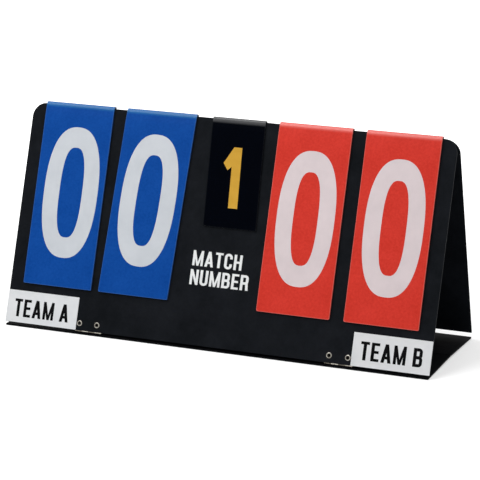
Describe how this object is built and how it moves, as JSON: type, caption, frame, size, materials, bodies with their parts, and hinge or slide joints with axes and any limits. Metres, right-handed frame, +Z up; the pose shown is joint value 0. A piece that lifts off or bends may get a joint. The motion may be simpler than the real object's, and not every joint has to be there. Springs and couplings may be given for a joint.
{
  "type": "tabletop flip scoreboard",
  "caption": "Folding tent of two black boards on a hinged two-piece base, with blue, red and small black stacks of number leaves that turn over the ridge.",
  "frame": {"origin": "centre of the stand's footprint, on the table", "axes": "+X along the width to the viewer's right, -Y towards the front board's viewer, +Z up"},
  "size_m": [0.775, 0.2534, 0.3795],
  "materials": {
    "board_black": "fine leather grain, matte",
    "base_black": "fine leather grain, matte",
    "hinge_steel": "nickel plated",
    "pin_steel": "nickel plated",
    "eyelet_steel": "nickel plated",
    "plate_white": "satin white",
    "strip_black": "matte",
    "leaf_blue": "glossy vinyl",
    "leaf_red": "glossy vinyl",
    "leaf_black": "glossy vinyl"
  },
  "bodies": {
    "base_front": {"base_front": "base_black", "base_front_eyelets": "eyelet_steel", "front_hinge_left_base_plate": "hinge_steel", "front_hinge_left_pin": "pin_steel", "middle_hinge_left_front_plate": "hinge_steel", "middle_hinge_left_pin": "pin_steel", "front_hinge_right_base_plate": "hinge_steel", "front_hinge_right_pin": "pin_steel", "middle_hinge_right_front_plate": "hinge_steel", "middle_hinge_right_pin": "pin_steel"},
    "base_rear": {"base_rear": "base_black", "base_rear_eyelets": "eyelet_steel", "middle_hinge_left_rear_plate": "hinge_steel", "rear_hinge_left_base_plate": "hinge_steel", "rear_hinge_left_pin": "pin_steel", "middle_hinge_right_rear_plate": "hinge_steel", "rear_hinge_right_base_plate": "hinge_steel", "rear_hinge_right_pin": "pin_steel"},
    "front_board": {"front_board": "board_black", "front_board_eyelets": "eyelet_steel", "name_plate_left": "plate_white", "name_plate_right": "plate_white", "front_hinge_left_board_plate": "hinge_steel", "ridge_hinge_left_front_plate": "hinge_steel", "ridge_hinge_left_pin": "pin_steel", "front_hinge_right_board_plate": "hinge_steel", "ridge_hinge_right_front_plate": "hinge_steel", "ridge_hinge_right_pin": "pin_steel", "blue_outer_strip": "strip_black", "blue_outer_pack": "leaf_blue", "blue_inner_strip": "strip_black", "blue_inner_pack": "leaf_blue", "small_strip": "strip_black", "small_pack": "leaf_black", "red_inner_strip": "strip_black", "red_inner_pack": "leaf_red", "red_outer_strip": "strip_black", "red_outer_pack": "leaf_red"},
    "rear_board": {"rear_board": "board_black", "rear_board_eyelets": "eyelet_steel", "rear_hinge_left_board_plate": "hinge_steel", "ridge_hinge_left_rear_plate": "hinge_steel", "rear_hinge_right_board_plate": "hinge_steel", "ridge_hinge_right_rear_plate": "hinge_steel"},
    "blue_outer_neck": {"blue_outer_neck": "leaf_blue"},
    "blue_outer_leaf": {"blue_outer_leaf": "leaf_blue"},
    "blue_inner_neck": {"blue_inner_neck": "leaf_blue"},
    "blue_inner_leaf": {"blue_inner_leaf": "leaf_blue"},
    "small_neck": {"small_neck": "leaf_black"},
    "small_leaf": {"small_leaf": "leaf_black"},
    "red_inner_neck": {"red_inner_neck": "leaf_red"},
    "red_inner_leaf": {"red_inner_leaf": "leaf_red"},
    "red_outer_neck": {"red_outer_neck": "leaf_red"},
    "red_outer_leaf": {"red_outer_leaf": "leaf_red"}
  },
  "joints": [
    {"name": "front_fold", "type": "hinge", "parent": "front_board", "child": "base_front", "pos_m": [0, -0.12113, 0.00516], "axis": [1, 0, 0], "range_deg": [0, 71.08]},
    {"name": "middle_fold", "type": "hinge", "parent": "base_front", "child": "base_rear", "pos_m": [0, 0, 0.00175], "axis": [-1, 0, 0], "range_deg": [0, 176.61]},
    {"name": "rear_fold", "type": "hinge", "parent": "base_rear", "child": "rear_board", "pos_m": [0, 0.12113, 0.00516], "axis": [1, 0, 0], "range_deg": [0, 71.09]},
    {"name": "blue_outer_flip", "type": "hinge", "parent": "front_board", "child": "blue_outer_neck", "pos_m": [0, 0.00208, 0.37842], "axis": [-1, 0, 0], "range_deg": [0, 161.89]},
    {"name": "blue_outer_bend", "type": "hinge", "parent": "blue_outer_neck", "child": "blue_outer_leaf", "pos_m": [0, -0.00435, 0.37945], "axis": [-1, 0, 0], "range_deg": [0, 162.06]},
    {"name": "blue_inner_flip", "type": "hinge", "parent": "front_board", "child": "blue_inner_neck", "pos_m": [0, 0.00208, 0.37842], "axis": [-1, 0, 0], "range_deg": [0, 161.89]},
    {"name": "blue_inner_bend", "type": "hinge", "parent": "blue_inner_neck", "child": "blue_inner_leaf", "pos_m": [0, -0.00435, 0.37945], "axis": [-1, 0, 0], "range_deg": [0, 162.06]},
    {"name": "small_flip", "type": "hinge", "parent": "front_board", "child": "small_neck", "pos_m": [0, 0.00179, 0.37757], "axis": [-1, 0, 0], "range_deg": [0, 161.89]},
    {"name": "small_bend", "type": "hinge", "parent": "small_neck", "child": "small_leaf", "pos_m": [0, -0.00429, 0.37854], "axis": [-1, 0, 0], "range_deg": [0, 162.06]},
    {"name": "red_inner_flip", "type": "hinge", "parent": "front_board", "child": "red_inner_neck", "pos_m": [0, 0.00208, 0.37842], "axis": [-1, 0, 0], "range_deg": [0, 161.89]},
    {"name": "red_inner_bend", "type": "hinge", "parent": "red_inner_neck", "child": "red_inner_leaf", "pos_m": [0, -0.00435, 0.37945], "axis": [-1, 0, 0], "range_deg": [0, 162.06]},
    {"name": "red_outer_flip", "type": "hinge", "parent": "front_board", "child": "red_outer_neck", "pos_m": [0, 0.00208, 0.37842], "axis": [-1, 0, 0], "range_deg": [0, 161.89]},
    {"name": "red_outer_bend", "type": "hinge", "parent": "red_outer_neck", "child": "red_outer_leaf", "pos_m": [0, -0.00435, 0.37945], "axis": [-1, 0, 0], "range_deg": [0, 162.06]}
  ],
  "couplings": [
    {"joint": "middle_fold", "follows": "front_fold", "ratio": 2.4846},
    {"joint": "rear_fold", "follows": "front_fold", "ratio": 1},
    {"joint": "blue_outer_bend", "follows": "blue_outer_flip", "ratio": 1.001},
    {"joint": "blue_inner_bend", "follows": "blue_inner_flip", "ratio": 1.001},
    {"joint": "small_bend", "follows": "small_flip", "ratio": 1.001},
    {"joint": "red_inner_bend", "follows": "red_inner_flip", "ratio": 1.001},
    {"joint": "red_outer_bend", "follows": "red_outer_flip", "ratio": 1.001}
  ]
}
